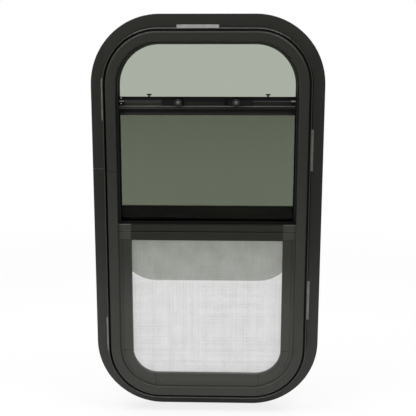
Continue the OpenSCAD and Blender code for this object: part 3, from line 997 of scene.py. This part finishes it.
@dataclass
class InsectScreen:
    """Framed screen with its woven mesh."""

    rail: SatinCoat = SatinCoat("screen_rail_coat", (0.0100, 0.0100, 0.0065), gloss=0.2)
    # painted light: stiles and bottom rail painted lighter towards the bottom
    stile: LowerLitCoat = LowerLitCoat(
        "screen_stile_coat", (0.0200, 0.0203, 0.0160), roughness=0.32, gloss=0.25,
        lower_light=(0.0475, 0.0480, 0.0420), lower_light_top=0.240, lower_light_fade=0.085,
    )
    corner: Moulded = Moulded("screen_corner_plastic", (0.047, 0.0475, 0.0415), roughness=0.42, gloss=0.25)
    key: KeyPlastic = KeyPlastic("screen_key_plastic", (0.031, 0.0315, 0.0255), roughness=0.42, gloss=0.25)
    cord: Rubber = Rubber("spline_cord", (0.01, 0.01, 0.01))
    pile: PileCloth = PileCloth("screen_pile", (0.005, 0.005, 0.005))
    yarn: CoatedYarn = CoatedYarn("screen_yarn", (0.42, 0.42, 0.415))
    yarn_radius: float = 0.235 * MM
    yarn_flatness: float = 0.7
    wave: float = 0.11 * MM
    wander: float = 0.22 * MM
    wander_along: float = 1.5
    wander_across: float = 900.0
    uneven: dict[Run, float] = field(default_factory=lambda: {Run.WARP: 0.07, Run.WEFT: 0.09})
    slub: float = 0.16
    slub_along: float = 130.0
    slub_across: float = 3.7
    runs_apart: Pair = (7.0, 11.0)
    pile_height: float = 0.8 * MM
    pile_depth: float = 5.2 * MM
    step_depth: float = 2.2 * MM
    step_strip_depth: float = 0.6 * MM
    step_strip_height: float = 2.0 * MM
    warp_pitch: float = 1.41 * MM
    weft_pitch: float = 1.59 * MM
    corner_radius: float = 41.0 * MM
    yarn_sides: int = 4

    def build(self) -> None:
        """Dresses the screen's frame and weaves its mesh."""
        stile, corner, key = self.stile.material(), self.corner.material(), self.key.material()
        dress("screen_top_rail", self.rail.material())
        dress("screen_bottom_rail", stile)
        for side in Side:
            dress(f"screen_stile_{side.word}", stile)
            dress(f"screen_key_{side.word}", key)
            dress(f"screen_corner_{side.word}", corner)
        dress("screen_spline", self.cord.material())
        yarn = self.yarn.material()
        for run in Run:
            piece = finish_piece(f"screen_{run.value}", self.weave(run), yarn, smooth=False)
            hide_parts("screen_mesh")
        self.add_top_pile()

    def add_top_pile(self) -> None:
        """Dark pile strip along the top edge of the screen, partly a seal and partly painted shade on its top
        face, and a dark strip on the step below as painted shade.
        """
        low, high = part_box("screen_top_rail")
        left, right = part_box("screen_key_left")[0][0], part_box("screen_key_right")[1][0]
        size = (right - left, self.pile_depth, self.pile_height)
        place = (0.0, high[1] - self.pile_depth / 2, high[2] + self.pile_height / 2)
        pile = self.pile.material()
        finish_piece("screen_top_pile", bevelled_bar(size, place), pile, False)
        # painted shade: dark strip on the rail's step, where shade falls in the recess
        size = (right - left, self.step_strip_depth, self.step_strip_height)
        place = (0.0, low[1] + self.step_depth - self.step_strip_depth / 2, high[2] - self.step_strip_height / 2)
        finish_piece("screen_step_shade_strip", bevelled_bar(size, place), pile, False)

    def steps(self, low: float, high: float, pitch: float) -> list[float]:
        """Places of the yarns between two edges, centred.

        Args:
            low: one edge.
            high: the other edge.
            pitch: spacing of the yarns.

        Returns:
            The places in order.
        """
        count = int((high - low) / pitch)
        start = (low + high - count * pitch) / 2
        return [start + index * pitch for index in range(count + 1)]

    def corner_gap(self, past: float) -> float:
        """How much of a yarn the mesh's round lower corner leaves off.

        Args:
            past: how far past the start of the corner the yarn lies.

        Returns:
            The length left off at its end.
        """
        past = min(max(0.0, past), self.corner_radius)
        return self.corner_radius - math.sqrt(self.corner_radius**2 - past**2)

    def weave(self, run: Run) -> bmesh.types.BMesh:
        """Yarns of one direction, each waving over and under those that it crosses.

        Args:
            run: which direction.

        Returns:
            The mesh.
        """
        low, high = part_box("screen_mesh")
        half, middle_y = (high[0] - low[0]) / 2, (low[1] + high[1]) / 2
        columns = self.steps(low[0], high[0], self.warp_pitch)
        rows = self.steps(low[2], high[2], self.weft_pitch)
        lines, crossings = (columns, rows) if run is Run.WARP else (rows, columns)
        yarns = [self.spin_yarn(run, crossings, parity) for parity in (1, -1)]
        shape = bmesh.new()
        for number, across in enumerate(lines):
            if run is Run.WARP:
                ends = (low[2] + self.corner_gap(abs(across) - (half - self.corner_radius)), high[2])
                place = (across, middle_y, 0.0)
            else:
                reach = half - self.corner_gap(self.corner_radius - (across - low[2]))
                ends = (-reach, reach)
                place = (0.0, middle_y, across)
            self.lay_yarn(shape, yarns[number % 2], run, number, place, ends)
        for yarn in yarns:
            bpy.data.meshes.remove(yarn)
        return shape

    def spin_yarn(self, run: Run, crossings: list[float], parity: int) -> bpy.types.Mesh:
        """One yarn over the whole width or height, waving at each crossing.

        Args:
            run: direction of the yarn.
            crossings: places of the yarns that it crosses, in order.
            parity: 1 where it starts over, -1 where it starts under.

        Returns:
            The yarn as mesh data, on the axis.
        """
        axis = 2 if run is Run.WARP else 0
        step = crossings[1] - crossings[0]
        shape = bmesh.new()
        turn = Matrix.Identity(4) if run is Run.WARP else Matrix.Rotation(math.pi / 2, 4, "Y")
        ring = bmesh.ops.create_circle(
            shape, segments=self.yarn_sides, radius=self.yarn_radius, matrix=turn
        )["verts"]
        bmesh.ops.scale(shape, vec=(1.0, self.yarn_flatness, 1.0), verts=ring)
        start = [0.0, 0.0, 0.0]
        start[axis] = crossings[0]
        bmesh.ops.translate(shape, vec=start, verts=ring)
        stride = [0.0, 0.0, 0.0]
        stride[axis] = step
        bmesh.ops.spin(
            shape, geom=shape.verts[:] + shape.edges[:], cent=(0.0, 0.0, 0.0), axis=(0.0, 1.0, 0.0),
            dvec=stride, angle=0.0, steps=len(crossings) - 1, use_merge=False,
        )
        side = parity if run is Run.WARP else -parity
        for vert in shape.verts:
            crossing = round((vert.co[axis] - crossings[0]) / step)
            vert.co.y += side * self.wave * (-1) ** crossing
        yarn = bpy.data.meshes.new("yarn")
        shape.to_mesh(yarn)
        shape.free()
        return yarn

    def lay_yarn(
        self, shape: bmesh.types.BMesh, yarn: bpy.types.Mesh, run: Run, number: int, place: Triple, ends: Pair
    ) -> None:
        """Cuts a yarn to length, closes its ends, makes it uneven and adds it to the mesh.

        Args:
            shape: mesh that the yarn is added to.
            yarn: the yarn at full length.
            run: direction of the yarn.
            number: count of the yarn from the first.
            place: where its axis lies.
            ends: lower and upper end along it.
        """
        along = (0.0, 0.0, 1.0) if run is Run.WARP else (1.0, 0.0, 0.0)
        cut = bmesh.new()
        cut.from_mesh(yarn)
        for end, way in zip(ends, (-1.0, 1.0)):
            bmesh.ops.bisect_plane(
                cut, geom=cut.verts[:] + cut.edges[:] + cut.faces[:], clear_outer=True,
                plane_co=[end * part for part in along], plane_no=[way * part for part in along],
            )
        bmesh.ops.edgeloop_fill(cut, edges=[edge for edge in cut.edges if edge.is_boundary])
        bmesh.ops.translate(cut, vec=place, verts=cut.verts)
        across, length_axis = (0, 2) if run is Run.WARP else (2, 0)
        apart = [length_axis * step for step in self.runs_apart]
        chance = noise.cell((number + 0.5, apart[0] + 0.5, 0.5))
        heavy = 1.0 + self.uneven[run] * (2.0 * chance - 1.0)
        for vert in cut.verts:
            reach, axis = vert.co[length_axis], place[across]
            slub = self.slub * noise.noise((reach * self.slub_along, number * self.slub_across, apart[1]))
            drift = self.wander * noise.noise((axis * self.wander_across, reach * self.wander_along, 0.0))
            vert.co[across] = axis + (vert.co[across] - axis) * (heavy + slub) + drift
        laid = bpy.data.meshes.new("laid")
        cut.to_mesh(laid)
        cut.free()
        shape.from_mesh(laid)
        bpy.data.meshes.remove(laid)


@dataclass
class PaleStrips:
    """Short grey strips stuck beside the neck, all one tape, with tones that paint light and shade: the top
    strip lit from above, the side strips darker.
    """

    # painted light and shade: one tape, lighter on the top strip, darker on the side strips
    lit_and_shaded_tones: dict[str, Colour] = field(
        default_factory=lambda: {
            "strip_top": (0.50, 0.50, 0.49),
            "strip_left_upper": (0.180, 0.180, 0.158),
            "strip_right_upper": (0.205, 0.205, 0.178),
            "strip_left_lower": (0.285, 0.285, 0.255),
            "strip_right_lower": (0.285, 0.285, 0.255),
        }
    )

    def build(self) -> None:
        """Dresses the strips."""
        for node, tone in self.lit_and_shaded_tones.items():
            dress(node, TapeStrip(f"{node}_tape", tone).material())


@dataclass(frozen=True)
class Lamp:
    """Soft rectangular lamp: where it hangs, what it faces, its width and height, and its watts."""

    name: str
    place: Triple
    aim: Triple
    size: Pair
    power: float

    def hang(self) -> None:
        """Adds the lamp to the scene."""
        lamp = bpy.data.lights.new(self.name, "AREA")
        lamp.shape = "RECTANGLE"
        lamp.size, lamp.size_y = self.size
        lamp.energy = self.power
        holder = bpy.data.objects.new(self.name, lamp)
        holder.location = self.place
        holder.rotation_euler = (Vector(self.aim) - Vector(self.place)).to_track_quat("-Z", "Y").to_euler()
        bpy.context.scene.collection.objects.link(holder)


@dataclass
class Studio:
    """White surround, soft lamps and the camera."""

    floor_half: float = 4.0
    floor_tone: Colour = (0.85, 0.85, 0.85)
    far_tone: Colour = (0.3, 0.3, 0.3)
    seen_tone: Colour = (0.14, 0.14, 0.14)
    glow: float = 0.81
    fade_from: float = 0.6
    fade_to: float = 1.6
    horizon_level: float = 0.075
    zenith_level: float = 0.6
    lamps: tuple[Lamp, ...] = (
        Lamp("overhead_left", (-0.75, -0.25, 1.8), (-0.1, -0.2, 0.0), (0.9, 0.9), 20.0),
        Lamp("overhead_right", (0.75, -0.25, 1.8), (0.1, -0.2, 0.0), (0.9, 0.9), 20.0),
        Lamp("side_fill", (-1.9, -1.5, 1.1), (0.0, 0.0, 0.3), (1.2, 1.2), 15.0),
        Lamp("back_fill", (0.6, 2.0, 1.6), (0.0, 0.0, 0.3), (1.2, 1.2), 12.0),
    )
    camera_place: Triple = (0.0286, -1.0364, 0.4939)
    yaw: float = math.radians(-1.53)
    pitch: float = math.radians(10.26)
    roll: float = math.radians(0.07)
    focal_px: float = 700.0
    image_px: float = 416.0
    sensor: float = 36.0

    def build(self) -> None:
        """Builds floor, surround, lamps and camera."""
        self.add_floor()
        self.light_world()
        for lamp in self.lamps:
            lamp.hang()
        self.add_camera()

    def add_floor(self) -> None:
        """Plain pale floor that the window stands on."""
        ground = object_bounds()[0][2]
        shape = bmesh.new()
        bmesh.ops.create_grid(shape, x_segments=1, y_segments=1, size=self.floor_half)
        bmesh.ops.translate(shape, vec=(0.0, 0.0, ground), verts=shape.verts)
        mesh = bpy.data.meshes.new("floor")
        shape.to_mesh(mesh)
        shape.free()
        mesh.materials.append(self.floor_material())
        floor = bpy.data.objects.new("floor", mesh)
        bpy.context.scene.collection.objects.link(floor)
        floor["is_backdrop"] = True

    def floor_material(self) -> bpy.types.Material:
        """Floor that looks white, keeps the shadow and lights less from farther off."""
        graph = Graph("floor_pale")
        seen = graph.seen()
        distance = graph.node("VectorMath", operation="LENGTH")
        graph.join(graph.place(), distance.inputs[0])
        fade = graph.node("MapRange", clamp=True, interpolation_type="SMOOTHSTEP")
        fade.inputs["From Min"].default_value = self.fade_from
        fade.inputs["From Max"].default_value = self.fade_to
        graph.join(distance.outputs["Value"], fade.inputs["Value"])
        far = fade.outputs["Result"]
        pale = graph.blend(far, self.seen_tone, (0.0, 0.0, 0.0))
        lighting = graph.blend(far, self.floor_tone, self.far_tone)
        matt, light, both = graph.node("BsdfDiffuse"), graph.node("Emission"), graph.node("AddShader")
        graph.join(graph.blend(seen, lighting, pale), matt.inputs["Color"])
        level = graph.math("ADD", self.glow, graph.math("MULTIPLY", far, 1.0 - self.glow))
        graph.join(graph.math("MULTIPLY", seen, level), light.inputs["Strength"])
        graph.join(matt.outputs["BSDF"], both.inputs[0])
        graph.join(light.outputs["Emission"], both.inputs[1])
        graph.join(both.outputs["Shader"], graph.output.inputs["Surface"])
        return graph.owner

    def light_world(self) -> None:
        """World that is white where it is seen and a soft overhead gradient where it lights."""
        graph = Graph("studio", world=True)
        bpy.context.scene.world = graph.owner
        place, split = graph.node("TexCoord"), graph.node("SeparateXYZ")
        graph.join(place.outputs["Generated"], split.inputs["Vector"])
        height = graph.node("MapRange")
        height.inputs["To Min"].default_value = self.horizon_level
        height.inputs["To Max"].default_value = self.zenith_level
        graph.join(split.outputs["Z"], height.inputs["Value"])
        level = graph.node("MapRange")
        level.inputs["To Max"].default_value = 1.0
        graph.join(height.outputs["Result"], level.inputs["To Min"])
        graph.join(graph.seen(), level.inputs["Value"])
        back = graph.node("Background")
        back.inputs["Color"].default_value = (1.0, 1.0, 1.0, 1.0)
        graph.join(level.outputs["Result"], back.inputs["Strength"])
        graph.join(back.outputs["Background"], graph.output.inputs["Surface"])

    def add_camera(self) -> None:
        """Camera at the photograph's place, turn and field of view."""
        forward = Vector((
            math.sin(self.yaw) * math.cos(self.pitch),
            math.cos(self.yaw) * math.cos(self.pitch),
            -math.sin(self.pitch),
        ))
        right = Vector((math.cos(self.yaw), -math.sin(self.yaw), 0.0))
        up = right.cross(forward)
        rolled_right = right * math.cos(self.roll) + up * math.sin(self.roll)
        rolled_up = up * math.cos(self.roll) - right * math.sin(self.roll)
        data = bpy.data.cameras.new("camera")
        data.sensor_width = self.sensor
        data.lens = self.focal_px * self.sensor / self.image_px
        camera = bpy.data.objects.new("camera", data)
        turn = Matrix((rolled_right, rolled_up, -forward)).transposed().to_4x4()
        camera.matrix_world = Matrix.Translation(self.camera_place) @ turn
        bpy.context.scene.collection.objects.link(camera)
        bpy.context.scene.camera = camera


def main() -> None:
    """Builds the dressed window and its studio."""
    logging.basicConfig(level=logging.INFO, format="%(message)s")
    for assembly in (OuterFrame(), Sash(), InsectScreen(), PaleStrips(), Studio()):
        assembly.build()
        LOG.info("%s done", type(assembly).__name__)
    bpy.context.scene.view_settings.view_transform = "Standard"


if __name__ == "__main__":
    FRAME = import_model()
    main()
